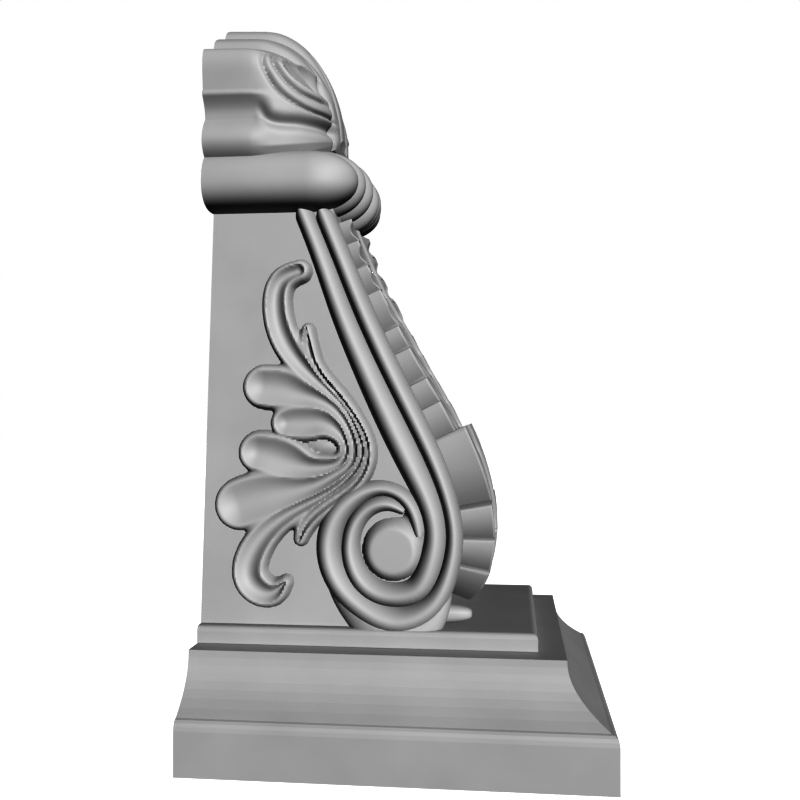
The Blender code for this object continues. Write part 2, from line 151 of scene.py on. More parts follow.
# Front leaf: lobes run up from the notches on its edge, the lower tier is the thicker one
LEAF_NOTCHES = [203, 191.5, 178.5, 165, 145.5, 134, 118, 106, 91, 56, 41.5, 28, 11.5]
LOWER_TIER_TOP = 91.0
UPPER_EDGE = [(101, 10.0), (120, 8.8), (146, 7.6), (165, 6.8), (178, 5.5), (203, 5.5)]
UPPER_MIDDLE = [(95, 10.4), (111, 9.6), (144, 7.6), (166, 4.6), (203, 2.6)]
LOWER_EDGE = [(11.5, 9.5), (20, 13.5), (28, 15.3), (42, 16.0), (91, 15.6)]
LOWER_MIDDLE_RISE = -1.0
FRONT_LEAF_SHARE = 0.84
LOBE_UNDERCUT = 0.54
UNDERCUT_POWER = 2.1
LAST_LOBE_TUCK = 0.55
LOBE_TIP_ROUND = 1.5
LOBE_TIP_SHARE = 0.05
LEAF_TIP = (47.5, 6.5, 134.0)
LEAF_TIP_HEIGHT = 5.0
LEAF_TIP_TAPER = 24.0
LEAF_TIP_BLUNT = 0.3
LEAF_CLIMB = 15.2
LEAF_LANES = 81
EDGE_SAMPLES = 400
EDGE_ROUND = 1.6
EDGE_STEEPEST = 0.95
VEIN_WIDTH = 2.2
LOBE_TIP_STATIONS = (0.0, 0.012, 0.03, 0.06)
LOBE_STATIONS = (0.1, 0.985, 15)

# Flute of a front lobe: height of its tip and half width there as shares of the lobe, then its way
# from the vein: distance from the middle, share of the climb, share of the half width, width added
LOBE_FLUTE_TIP = 0.58
LOBE_FLUTE_HALF = 0.40
LOBE_FLUTE_WAY = [(2.6, 0.0, 0.0, 0.7), (10.0, 0.42, 0.28, 0.9), (22.0, 0.80, 0.72, 0.0)]
LOBE_FLUTE_REACH = 35.5

# Collar: middle of each roll across the bracket, half width, height of its middle, half height,
# distance from the wall to its nose
COLLAR_ROLL = (42.0, 18.8, 222.0, 15.2, 76.0)
COLLAR_LEAN = 0.12
GADROONS = [(30.0, 11.5, 222.5, 17.6, 78.2), (15.5, 11.0, 222.0, 18.5, 80.0),
            (0.0, 9.5, 220.0, 19.0, 81.0)]
GADROON_NOSE = 24.0

# Round bars: points round them, rings along the nose, how far the nose stays open and squareness
BAR_POINTS = 64
BAR_RINGS = 20
BAR_OPENING = 0.03
BAR_POWER = 0.85

# Turned-over crown leaf: half outline at the wall in smooth runs that meet at sharp arrises
CROWN_RUNS = [
    [(46, 226), (54.5, 231.5), (59, 236.5), (60.1, 240), (58.6, 246), (54.3, 251.7)],
    [(54.3, 251.7), (54.9, 256), (56.8, 259.8), (59.2, 263)],
    [(59.2, 263), (59.3, 264.4), (58.2, 266)],
    [(58.2, 266), (58.6, 270.5), (59.2, 277), (58.8, 282.5), (57, 286.2), (52.5, 288)],
    [(52.5, 288), (46, 290), (40.3, 292.5)],
    [(40.3, 292.5), (38.6, 296.5), (35, 299.3), (28, 302.4), (20, 305)],
    [(20, 305), (18, 308.5), (13, 312), (6.5, 314.4), (0, 315)],
]
CROWN_FRONT = [(226, 46), (231.5, 54.5), (236.5, 58.3), (245, 59.3), (262, 59.4), (277, 58.6),
               (284, 57.4), (288, 52.5)]
CROWN_STEP = 0.76
CROWN_RINGS = 64
CROWN_SECOND_RING = 12.0
CROWN_TURN = (24.0, 36.0)
CROWN_CENTRE = (20.0, 249.5)
CROWN_NOSE = 41.8
CROWN_PLAN_POWER = 0.6
CROWN_FALL = 0.05
CROWN_LEAST = 0.06
CROWN_SIDE_FROM = (14.0, 26.0)
CROWN_SPREAD = (43.0, 60.0, 65.0)
CROWN_UPWARD = 0.35

# Cuts in the crown: each a line of distances from the wall and heights, its depth and half width
CROWN_CUTS = [
    ([(30.2, 284), (30.4, 279), (33.3, 272), (38.2, 265.5), (46, 260), (56, 257.3), (61, 258)], 2.3, 1.2),
    ([(34.6, 284), (35.6, 279.5), (37.8, 275.6), (42.4, 270), (49.7, 265), (57.3, 263.8)], 2.0, 1.2),
    ([(28, 256), (33, 251), (40, 249.4), (48.2, 250), (58.3, 251.2), (62, 252.4)], 4.2, 3.2),
]
CROWN_EYE = (49.5, 276.0, 12.0, 5.6, -36.0)
CROWN_EYE_DEPTH = 5.0
CROWN_EYE_POWER = 0.8
CROWN_CUT_STATIONS = 90
CROWN_FRONT_CUTS = (8.0, 23.0)
CROWN_FRONT_CUT = (1.8, 1.8)
CROWN_FRONT_FROM = (40.0, 54.0)

# Camera that sees the bracket's side, in the bracket's own frame
CAMERA_PLACE = (0.052718, -0.531436, 0.168444)
CAMERA_TURN_DEG = (90.4515, 0.0, 6.442)
CAMERA_LENS_MM = 43.95
CAMERA_SENSOR_MM = 36.0
CAMERA_NEAREST = 0.01

# Studio light: one key without shadows from the right, above and the camera's side, a weak fill
KEY_FROM = (0.45, -0.79, 0.35)
KEY_STRENGTH = 5.75
KEY_SPREAD_DEG = 6.0
FILL_STRENGTH = 0.03
BACKDROP_STRENGTH = 1.0
FLOOR_GLOW = 0.6
VIEW_GAMMA = 0.46
FLOOR_REACH = 4.0
WHITE = (1.0, 1.0, 1.0, 1.0)

# Primer and paper
PRIMER_ROUGHNESS = 0.62
PAPER_ROUGHNESS = 0.9
PRIMER_IOR = 1.46
GLOSS_DRIFT = 0.04
PEEL_MM = 0.6
PEEL_DEPTH_MM = 0.1
SHARP_ANGLE_DEG = 35.0


def mm(value):
    """Millimetres turned into metres."""
    return value / 1000.0


def linear(hex_colour):
    """sRGB hex colour turned into linear red, green, blue and alpha."""
    channels = [int(hex_colour[i:i + 2], 16) / 255.0 for i in (1, 3, 5)]
    out = [c / 12.92 if c <= 0.04045 else ((c + 0.055) / 1.055) ** 2.4 for c in channels]
    return (*out, 1.0)


class BracketSettings(bpy.types.PropertyGroup):
    """Sizes and colours that a user may change."""
    strand_height: FloatProperty(
        name="Strand height", description="How far the scroll strands stand off the side",
        default=9.5 * SHARE, min=0.0, unit="LENGTH")
    leaf_height: FloatProperty(
        name="Side leaf height", description="How far the rims of the side leaf stand off the side",
        default=7.0 * SHARE, min=0.0, unit="LENGTH")
    leaf_hollow: FloatProperty(
        name="Side leaf hollow", description="Greatest depth of the side leaf's flutes",
        default=3.2 * SHARE, min=0.0, unit="LENGTH")
    lobe_flute: FloatProperty(
        name="Front lobe hollow", description="Depth of the hollows between the front leaf's lobes",
        default=2.2 * SHARE, min=0.0, unit="LENGTH")
    vein_rise: FloatProperty(
        name="Vein height", description="How far the middle vein stands off the front leaf",
        default=1.6 * SHARE, min=0.0, unit="LENGTH")
    body_colour: FloatVectorProperty(
        name="Carving colour", description="Primer on the carved body", subtype="COLOR", size=4,
        min=0.0, max=1.0, default=linear("#A9A9A9"))
    base_colour: FloatVectorProperty(
        name="Plinth colour", description="Primer on the slab and the plinth", subtype="COLOR",
        size=4, min=0.0, max=1.0, default=linear("#A6A6A6"))
    floor_colour: FloatVectorProperty(
        name="Floor colour", description="Paper of the floor and backdrop", subtype="COLOR", size=4,
        min=0.0, max=1.0, default=linear("#F4F4F4"))


def new_object(name, data):
    """Link an object with its mesh, light or camera to the scene."""
    obj = bpy.data.objects.new(name, data)
    bpy.context.scene.collection.objects.link(obj)
    return obj


def loft(name, rings):
    """Close a run of equally long rings into one solid."""
    points = np.array(rings, dtype=float)
    steps, count = points.shape[:2]
    faces = []
    for i in range(steps - 1):
        for j in range(count):
            k = (j + 1) % count
            faces.append((i * count + j, i * count + k, (i + 1) * count + k, (i + 1) * count + j))
    faces.append(tuple(range(count))[::-1])
    faces.append(tuple((steps - 1) * count + j for j in range(count)))
    mesh_data = bpy.data.meshes.new(name)
    mesh_data.from_pydata(points.reshape(-1, 3), [], faces)
    work = bmesh.new()
    work.from_mesh(mesh_data)
    bmesh.ops.triangulate(work, faces=[f for f in work.faces if len(f.verts) > 4])
    bmesh.ops.recalc_face_normals(work, faces=work.faces[:])
    work.to_mesh(mesh_data)
    work.free()
    return new_object(name, mesh_data)


def height_block(name, tops, floors):
    """Solid between two equal grids of points."""
    tops = np.array(tops, dtype=float)
    floors = np.array(floors, dtype=float)
    steps, count = tops.shape[:2]
    low = steps * count

    def at(i, j, layer):
        return layer * low + i * count + j

    faces = []
    for i in range(steps - 1):
        for j in range(count - 1):
            faces.append((at(i, j, 0), at(i, j + 1, 0), at(i + 1, j + 1, 0), at(i + 1, j, 0)))
            faces.append((at(i, j, 1), at(i + 1, j, 1), at(i + 1, j + 1, 1), at(i, j + 1, 1)))
    for i in range(steps - 1):
        for j in (0, count - 1):
            faces.append((at(i, j, 0), at(i + 1, j, 0), at(i + 1, j, 1), at(i, j, 1)))
    for j in range(count - 1):
        for i in (0, steps - 1):
            faces.append((at(i, j, 0), at(i, j, 1), at(i, j + 1, 1), at(i, j + 1, 0)))
    mesh_data = bpy.data.meshes.new(name)
    mesh_data.from_pydata(np.concatenate((tops.reshape(-1, 3), floors.reshape(-1, 3))), [], faces)
    work = bmesh.new()
    work.from_mesh(mesh_data)
    bmesh.ops.recalc_face_normals(work, faces=work.faces[:])
    work.to_mesh(mesh_data)
    work.free()
    return new_object(name, mesh_data)


def combine(target, tools, operation):
    """Fuse or cut with the tools, keep the result as the target's mesh and drop the tools."""
    for tool in tools:
        boolean = target.modifiers.new(tool.name, "BOOLEAN")
        boolean.operation = operation
        boolean.solver = "MANIFOLD"
        boolean.object = tool
    bpy.context.view_layer.update()
    evaluated = target.evaluated_get(bpy.context.evaluated_depsgraph_get())
    result = bpy.data.meshes.new_from_object(evaluated)
    target.modifiers.clear()
    target.data = result
    for tool in tools:
        bpy.data.objects.remove(tool, do_unlink=True)
    return target


def spline(points):
    """Second derivatives of a natural cubic curve through the points, by chord length."""
    points = np.asarray(points, float)
    steps = np.hypot(*np.diff(points[:, :2], axis=0).T)
    knots = np.concatenate(([0.0], np.cumsum(steps)))
    size = len(points)
    matrix = np.eye(size)
    target = np.zeros_like(points)
    for i in range(1, size - 1):
        before, after = steps[i - 1], steps[i]
        matrix[i, i - 1:i + 2] = before, 2 * (before + after), after
        slope_after = (points[i + 1] - points[i]) / after
        slope_before = (points[i] - points[i - 1]) / before
        target[i] = 6 * (slope_after - slope_before)
    return points, knots, np.linalg.solve(matrix, target)


def along(curve, place):
    """Point of the curve at a place measured along its chords, run on straight past its ends."""
    points, knots, bend = curve
    inside = np.clip(place, 0.0, knots[-1])
    i = min(int(np.searchsorted(knots, inside, side="right")) - 1, len(knots) - 2)
    step = knots[i + 1] - knots[i]
    a = (knots[i + 1] - inside) / step
    b = (inside - knots[i]) / step
    value = a * points[i] + b * points[i + 1]
    value = value + ((a ** 3 - a) * bend[i] + (b ** 3 - b) * bend[i + 1]) * step ** 2 / 6
    slope = (points[i + 1] - points[i]) / step
    slope = slope + ((1 - 3 * a ** 2) * bend[i] + (3 * b ** 2 - 1) * bend[i + 1]) * step / 6
    direction = slope[:2] / np.hypot(*slope[:2])
    value[:2] += direction * (place - inside)
    return value, direction


def body_point(x, y, z):
    """Shares of the carved height turned into metres in the bracket's own frame."""
    return (WALL_X + x * SHARE, y * SHARE, BODY_Z + z * SHARE)


def side_surface(z):
    """Half width of the plain tapered side at a height."""
    return BODY_HALF_WIDTH - BODY_TAPER * z


def crown_outline():
    """Half outline of the crown leaf, each run drawn as a smooth curve."""
    outline = []
    for run in CROWN_RUNS:
        curve = spline([(y, z, 0.0) for y, z in run])
        count = max(3, int(curve[1][-1] / CROWN_STEP))
        for place in np.linspace(0.0, curve[1][-1], count, endpoint=False):
            y, z, _ = along(curve, place)[0]
            outline.append((y, z))
    outline.append(CROWN_RUNS[-1][-1])
    return np.array(outline)


def ramp(value, low, high):
    """Smooth climb from 0 at low to 1 at high."""
    share = np.clip((value - low) / (high - low), 0.0, 1.0)
    return share * share * (3 - 2 * share)


def nearest(xs, zs, points):
    """Distance from each place to a smooth line through the points."""
    curve = spline([(x, z, 0.0) for x, z in points])
    spots = [along(curve, place)[0] for place in np.linspace(0.0, curve[1][-1], CROWN_CUT_STATIONS)]
    return np.min([np.hypot(xs - px, zs - pz) for px, pz, _ in spots], axis=0)


def crown_cut(x, y, z):
    """Depth cut into the crown at each point: side grooves, the hollow eye and the front grooves."""
    depth = np.zeros_like(x)
    for points, deep, width in CROWN_CUTS:
        depth = np.maximum(depth, deep * np.exp(-(nearest(x, z, points) / width) ** 2))
    eye_x, eye_z, long_half, short_half, turn = CROWN_EYE
    turn = math.radians(turn)
    run = ((x - eye_x) * math.cos(turn) + (z - eye_z) * math.sin(turn)) / long_half
    rise = ((z - eye_z) * math.cos(turn) - (x - eye_x) * math.sin(turn)) / short_half
    depth += CROWN_EYE_DEPTH * np.clip(1 - run ** 2 - rise ** 2, 0, 1) ** CROWN_EYE_POWER
    depth *= ramp(abs(y), *CROWN_SIDE_FROM) * ramp(x, *CROWN_TURN)
    deep, width = CROWN_FRONT_CUT
    for place in CROWN_FRONT_CUTS:
        depth += deep * np.exp(-((abs(y) - place) / width) ** 2) * ramp(x, *CROWN_FRONT_FROM)
    return depth


def bead(name, points, height, side, stations, lanes):
    """Rounded strand swept along its line and rounded at both ends."""
    flank = STRAND_OVERLAP
    curve = spline(points)
    length = curve[1][-1]
    first_cap = points[0][2] + flank
    last_cap = points[-1][2] + flank
    ends = 0.5 - 0.5 * np.cos(np.linspace(0.0, np.pi, stations))
    ends = 0.5 * ends + 0.5 * np.linspace(0.0, 1.0, stations)
    turn = np.linspace(-0.5 * np.pi, 0.5 * np.pi, lanes)
    rings = []
    for share in STRAND_END_TRIM + (1 - 2 * STRAND_END_TRIM) * ends:
        place = share * (length + 2 * flank)
        left = length + 2 * flank - place
        near, cap = min((place, first_cap), (left, last_cap), key=lambda pair: pair[0] / pair[1])
        (x, z, half), (dx, dz) = along(curve, place - flank)
        full = max(half, THINNEST_HALF) + flank
        narrow = np.sqrt(1 - (1 - min(near / cap, 1.0)) ** 2)
        rise = np.sqrt(1 - (1 - min(near / flank, 1.0)) ** 2)
        ring = []
        for angle in turn:
            q = math.sin(angle)
            level = (1 - q * q) ** STRAND_ROUNDNESS * (full / STRAND_FULL) ** 0.5
            px = x - dz * q * full * narrow
            pz = z + dx * q * full * narrow
            ring.append((px, pz, level * height * rise))
        ring.append((ring[-1][0], ring[-1][1], -RELIEF_ROOT))
        ring.insert(0, (ring[0][0], ring[0][1], -RELIEF_ROOT))
        rings.append([body_point(px, side * (side_surface(pz) + h), pz) for px, pz, h in ring])
    return loft(name, rings)


def core_block():
    """Tapered block behind the carving, with the curved front edge of the rails."""
    curve = spline(FRONT_EDGE)
    front = []
    for share in np.linspace(0.0, 1.0, CORE_STATIONS):
        (x, z), (dx, dz) = along(curve, share * curve[1][-1])
        front.append((x + dz * CORE_INSET, z - dx * CORE_INSET))
    outline = [(-BEHIND_WALL, CORE_TOP), (CORE_TOP_REACH, CORE_TOP)] + front
    outline.append((-BEHIND_WALL, front[-1][1]))
    rings = []
    for side in (-1, 1):
        rings.append([body_point(x, side * side_surface(z), z) for x, z in outline])
    return loft("core", rings)


def soft_minimum(first, second, web):
    """Smaller of two gaps, filled out where they are alike."""
    web = max(web, 1e-6)
    near = np.clip(web - abs(first - second), 0.0, None) / web
    return np.minimum(first, second) - near ** 2 * web / 4


def flute_field(xs, zs, flutes, height, flank, hollow, web):
    """Height of fluted carving over a grid: hollows between sharp crests, and a round outer flank."""
    inside = np.full(xs.shape, np.inf)
    outside = np.full(xs.shape, FAR_AWAY)
    for points in flutes:
        curve = spline(points)
        first = FLUTE_END_SHARE * max(points[0][2] - FLUTE_END_CUT, 0.0)
        last = curve[1][-1] - FLUTE_END_SHARE * max(points[-1][2] - FLUTE_END_CUT, 0.0)
        places = np.linspace(first, last, int(curve[1][-1] / FLUTE_STEP))
        spots = np.array([along(curve, place)[0] for place in places])
        spots[:, 2] = np.maximum(spots[:, 2], THINNEST_HALF)
        share = np.full(xs.shape, np.inf)
        gap = np.full(xs.shape, np.inf)
        for px, pz, half in spots:
            reach = np.hypot(xs - px, zs - pz)
            share = np.minimum(share, reach / half)
            gap = np.minimum(gap, reach - half)
        depth = hollow * np.clip(1 - share ** 2, 0, 1) ** FLUTE_POWER
        inside = np.where(share < 1, np.minimum(inside, height - depth), inside)
        outside = soft_minimum(outside, gap, web)
    fall = np.clip(outside / flank, 0, FLANK_END)
    rim = height * np.where(fall < 1, np.sqrt(np.clip(1 - fall ** FLANK_POWER, 0, 1)), 1.0 - fall)
    return np.where(np.isfinite(inside), inside, rim)


def side_leaves(settings):
    """Fluted half leaf on each side, with the shallow floor of its eye."""
    x0, x1, z0, z1 = SIDE_LEAF_WINDOW
    start, slant = SIDE_LEAF_NARROWS
    zs = np.arange(z0, z1, FIELD_STEP)
    right = x1 - slant * np.clip(zs - start, 0.0, None)
    across = np.linspace(0.0, 1.0, int((x1 - x0) / FIELD_STEP))
    xs = x0 + across[:, None] * (right - x0)[None, :]
    zs = np.broadcast_to(zs, xs.shape)
    h = flute_field(xs, zs, SIDE_FLUTES, settings.leaf_height / SHARE, LEAF_FLANK,
                    settings.leaf_hollow / SHARE, LOBE_WEB)
    eye_x, eye_z, long_half, short_half = SIDE_LEAF_EYE
    off = ((xs - eye_x) / long_half) ** 2 + ((zs - eye_z) / short_half) ** 2
    floor, fall = SIDE_LEAF_EYE_FLOOR
    h = np.where(off < SIDE_LEAF_EYE_END, np.maximum(h, floor - fall * off), h)
    return [side_leaf_block(side, xs, zs, h) for side in (-1, 1)]


def side_leaf_block(side, xs, zs, h):
    """Solid of carving on one side from its heights over the side."""
    base = side_surface(zs)
    tops = np.stack((WALL_X + xs * SHARE, side * (base + h) * SHARE, BODY_Z + zs * SHARE), axis=-1)
    floors = np.stack((WALL_X + xs * SHARE, side * (base - 2 * RELIEF_ROOT) * SHARE,
                       BODY_Z + zs * SHARE), axis=-1)
    return height_block("side_leaf", tops, floors)


def leaf_thickness(level):
    """Thickness of the front leaf at its edge and its middle."""
    if level <= LOWER_TIER_TOP:
        edge = np.interp(level, *np.array(LOWER_EDGE).T)
        return edge, edge + LOWER_MIDDLE_RISE
    return np.interp(level, *np.array(UPPER_EDGE).T), np.interp(level, *np.array(UPPER_MIDDLE).T)


def lobe_half(top, bottom, share):
    """Half width of the front leaf inside a lobe: full at its tip, undercut down to the next notch."""
    length = top - bottom
    tuck = LAST_LOBE_TUCK * length * share if bottom == LEAF_NOTCHES[-1] else 0.0
    half = FRONT_LEAF_SHARE * side_surface(top - share * length)
    rounding = 1 - min(share / LOBE_TIP_SHARE, 1.0)
    half -= LOBE_UNDERCUT * length * share ** UNDERCUT_POWER + tuck
    return half - LOBE_TIP_ROUND * rounding ** 2


def leaf_flutes(arcs):
    """Flutes of the front leaf on one side: each climbs from the middle vein to its lobe's tip."""
    flutes = []
    for top, bottom in zip(arcs, arcs[1:]):
        size = top - bottom
        half = LOBE_FLUTE_HALF * size
        tip = bottom + LOBE_FLUTE_TIP * size
        start = bottom - LEAF_CLIMB
        flute = [(out, start + climb * (tip - start), width * half + added)
                 for out, climb, width, added in LOBE_FLUTE_WAY]
        flutes.append(flute + [(LOBE_FLUTE_REACH, tip, half)])
    return flutes


def front_leaf(settings):
    """Two-tiered leaf down the front: notched thick edges, fluted lobes and a middle vein."""
    curve = spline(FRONT_EDGE)
    sample = np.linspace(0.0, curve[1][-1], EDGE_SAMPLES)
    heights = np.array([along(curve, place)[0][1] for place in sample])
    foot = curve[1][-1]
    arcs = [foot - np.interp(-level, -heights, sample) for level in LEAF_NOTCHES]
    lanes = np.linspace(-1.0, 1.0, LEAF_LANES)
    rows = []
    for top, bottom in zip(LEAF_NOTCHES, LEAF_NOTCHES[1:]):
        for share in np.concatenate((LOBE_TIP_STATIONS, np.linspace(*LOBE_STATIONS))):
            level = top + (bottom - top) * share
            rows.append((level, np.interp(-level, -heights, sample), lobe_half(top, bottom, share)))
    places, halves = np.array(rows).T[1:]
    ys = halves[:, None] * lanes[None, :]
    arc = np.repeat((foot - places)[:, None], len(lanes), axis=1)
    hollow = flute_field(abs(ys), arc, leaf_flutes(arcs), 0.0, LEAF_FLANK,
                         settings.lobe_flute / SHARE, 0.0)
    hollow = np.minimum(hollow, 0.0)
    rings = []
    for i, (level, place, half) in enumerate(rows):
        (x, z), (dx, dz) = along(curve, place)
        edge, middle = leaf_thickness(level)
        h = edge + (middle - edge) * (1 - lanes ** 2) + hollow[i]
        h += settings.vein_rise / SHARE * np.exp(-(ys[i] / VEIN_WIDTH) ** 2)
        past = np.clip((abs(ys[i]) - half + EDGE_ROUND) / EDGE_ROUND, 0.0, EDGE_STEEPEST)
        h -= EDGE_ROUND * (1 - np.sqrt(1 - past ** 2))
        ring = [(x - dz * rise, y, z + dx * rise) for y, rise in zip(ys[i], h)]
        ring.append((x + dz * RELIEF_ROOT, half, z - dx * RELIEF_ROOT))
        ring.insert(0, (x + dz * RELIEF_ROOT, -half, z - dx * RELIEF_ROOT))
        rings.append([body_point(*point) for point in ring])
    return loft("front_leaf", rings)


def tongue(name, middle, half_width, height, half_height, nose, tip_length, lean=0.0, blunt=0.5):
    """Round bar running forward from the wall to a rounded nose."""
    turn = np.linspace(0.0, 2 * np.pi, BAR_POINTS + 1)[:-1]
    forward = np.sin(np.linspace(0.0, 0.5 * np.pi - BAR_OPENING, BAR_RINGS))
    rings = []
    for reach in np.concatenate(([-1.0], forward)):
        x = -BEHIND_WALL if reach < 0 else nose - tip_length + tip_length * reach
        shrink = 1.0 if reach <= 0 else (1 - reach ** 2) ** blunt
        ys = middle + half_width * shrink * np.sign(np.cos(turn)) * abs(np.cos(turn)) ** BAR_POWER
        zs = height + half_height * shrink * np.sign(np.sin(turn)) * abs(np.sin(turn)) ** BAR_POWER
        ys = ys - lean * (zs - height)
        rings.append([body_point(x, y, z) for y, z in zip(ys, zs)])
    return loft(name, rings)


def collar():
    """Side rolls and the nested gadroons that hang over the front."""
    pieces = []
    for side in (-1, 1):
        middle, half_width, height, half_height, nose = COLLAR_ROLL
        pieces.append(tongue("roll", side * middle, half_width, height, half_height, nose,
                             GADROON_NOSE, side * COLLAR_LEAN))
    for middle, half_width, height, half_height, nose in GADROONS:
        for side in (-1, 1) if middle else (1,):
            pieces.append(tongue("gadroon", side * middle, half_width, height, half_height, nose,
                                 GADROON_NOSE))
    return pieces


def crown():
    """Fluted leaf that runs forward from the wall and turns over to a blunt nose."""
    half = crown_outline()
    outline = np.concatenate((half * (-1, 1), half[-2::-1]))
    plain = np.interp(outline[:, 1], *np.array(CROWN_FRONT).T) * np.sign(outline[:, 0])
    plain = np.where(outline[:, 1] < CROWN_FRONT[-1][0], plain, outline[:, 0])
    start = np.arcsin((CROWN_TURN[0] - CROWN_CENTRE[0]) / CROWN_NOSE)
    leans = np.concatenate(((0.0, 0.0, 0.0), np.linspace(start, 0.5 * np.pi, CROWN_RINGS)))
    forward = CROWN_CENTRE[0] + CROWN_NOSE * np.sin(leans)
    forward[:2] = -BEHIND_WALL, CROWN_SECOND_RING
    ahead, aside, up = CROWN_SPREAD
    rings = []
    for lean, reach in zip(leans, forward):
        shrink = max(np.cos(lean), CROWN_LEAST)
        x = np.full(len(outline), reach)
        turned = ramp(reach, *CROWN_TURN)
        y = (outline[:, 0] * (1 - turned) + plain * turned) * shrink ** CROWN_PLAN_POWER
        z = CROWN_CENTRE[1] + (outline[:, 1] - CROWN_CENTRE[1]) * shrink
        z = z - CROWN_FALL * max(reach, 0.0) * np.clip((z - CROWN_CENTRE[1]) / up, 0.0, 1.0)
        cut = crown_cut(x, y, z)
        out = np.stack((np.clip(x - CROWN_CENTRE[0], 0, None) / ahead ** 2, y / aside ** 2,
                        CROWN_UPWARD * (z - CROWN_CENTRE[1]) / up ** 2))
        out = out / np.maximum(np.linalg.norm(out, axis=0), 1e-6)
        x, y, z = np.stack((x, y, z)) - out * cut
        rings.append([body_point(*point) for point in zip(x, y, z)])
    return loft("crown", rings)


def eye_rise():
    """Solid of the volute's eye on each side: a flat pebble that runs up into the strand's end."""
    columns = np.arange(*EYE_WINDOW[:2], FIELD_STEP)
    levels = np.arange(*EYE_WINDOW[2:], FIELD_STEP)
    xs, zs = np.meshgrid(columns, levels, indexing="ij")
    gap = np.hypot(xs - VOLUTE_EYE[0], zs - VOLUTE_EYE[1]) - EYE_RADIUS
    curve = spline(EYE_TAIL)
    tail = np.full(xs.shape, FAR_AWAY)
    for place in np.linspace(0.0, curve[1][-1], EYE_TAIL_STATIONS):
        px, pz, half = along(curve, place)[0]
        tail = np.minimum(tail, np.hypot(xs - px, zs - pz) - half)
    gap = soft_minimum(gap, tail, EYE_WEB)
    inside = np.clip(-gap / EYE_EDGE, 0.0, 1.0)
    h = np.where(gap < 0, EYE_HEIGHT * (1 - (1 - inside) ** 2) ** EYE_DOME, EYE_BURIED)
    return [side_leaf_block(side, xs, zs, h) for side in (-1, 1)]


def side_relief(side, settings):
    """Scroll bands with the volute's flank, and the foot tip of the front leaf, on one side."""
    height = settings.strand_height / SHARE
    low_height = VOLUTE_FLANK_SHARE * settings.strand_height / SHARE
    pieces = [
        bead("strand", OUTER_STRAND, height, side, OUTER_STATIONS, STRAND_LANES),
        bead("strand", INNER_STRAND, height, side, INNER_STATIONS, STRAND_LANES),
        bead("flank", VOLUTE_FLANK, low_height, side, VOLUTE_FLANK_STATIONS, VOLUTE_FLANK_LANES),
    ]
    tip_middle, tip_half, tip_nose = LEAF_TIP
    pieces.append(tongue("foot_tip", side * tip_middle, tip_half, LEAF_TIP_HEIGHT, LEAF_TIP_HEIGHT,
                         tip_nose, LEAF_TIP_TAPER, 0.0, LEAF_TIP_BLUNT))
    return pieces


def cutting_block():
    """Block that keeps only what stands in front of the wall and above the slab."""
    corners = ((0.0, -KEEP_REACH), (KEEP_REACH, -KEEP_REACH), (KEEP_REACH, KEEP_REACH),
               (0.0, KEEP_REACH))
    rings = []
    for z in (0.0, CARVED_SHARES):
        rings.append([body_point(x, y, z) for x, y in corners])
    return loft("keep", rings)


def add_node(tree, kind, settings, links):
    """Add a node, set its values and link its inputs."""
    node = tree.nodes.new(kind)
    for key, value in settings.items():
        if key in node.inputs:
            node.inputs[key].default_value = value
        else:
            setattr(node, key, value)
    for key, source in links.items():
        tree.links.new(source, node.inputs[key])
    return node


def sprayed_primer(name, colour, roughness):
    """Grey filler primer sprayed on carved hardwood: an even satin-matt coat.

    The eye sees one grey that drifts a little with the coat's thickness, a fine orange peel of
    about 0.6 mm and a soft broad sheen.
    """
    material = bpy.data.materials.new(name)
    material.use_nodes = True
    tree = material.node_tree
    shader = tree.nodes["Principled BSDF"]
    shader.inputs["Metallic"].default_value = 0.0
    shader.inputs["IOR"].default_value = PRIMER_IOR
    place = add_node(tree, "ShaderNodeTexCoord", {}, {})
    drift = add_node(tree, "ShaderNodeTexNoise", {"Scale": 30.0, "Detail": 3.0, "Roughness": 0.5},
                     {"Vector": place.outputs["Object"]})
    tone = add_node(tree, "ShaderNodeMapRange",
                    {"From Min": 0.3, "From Max": 0.7, "To Min": 0.97, "To Max": 1.03},
                    {"Value": drift.outputs["Fac"]})
    mixed = add_node(tree, "ShaderNodeVectorMath", {"operation": "SCALE"},
                     {"Scale": tone.outputs["Result"]})
    mixed.inputs[0].default_value = colour[:3]
    tree.links.new(mixed.outputs["Vector"], shader.inputs["Base Color"])
    gloss = add_node(tree, "ShaderNodeMapRange",
                     {"From Min": 0.3, "From Max": 0.7, "To Min": roughness - GLOSS_DRIFT,
                      "To Max": roughness + GLOSS_DRIFT},
                     {"Value": drift.outputs["Fac"]})
    tree.links.new(gloss.outputs["Result"], shader.inputs["Roughness"])
    peel = add_node(tree, "ShaderNodeTexNoise", {"Scale": 1.0 / mm(PEEL_MM), "Detail": 1.0},
                    {"Vector": place.outputs["Object"]})
    bump = add_node(tree, "ShaderNodeBump", {"Strength": 0.05, "Distance": mm(PEEL_DEPTH_MM)},
                    {"Height": peel.outputs["Fac"]})
    tree.links.new(bump.outputs["Normal"], shader.inputs["Normal"])
    return material


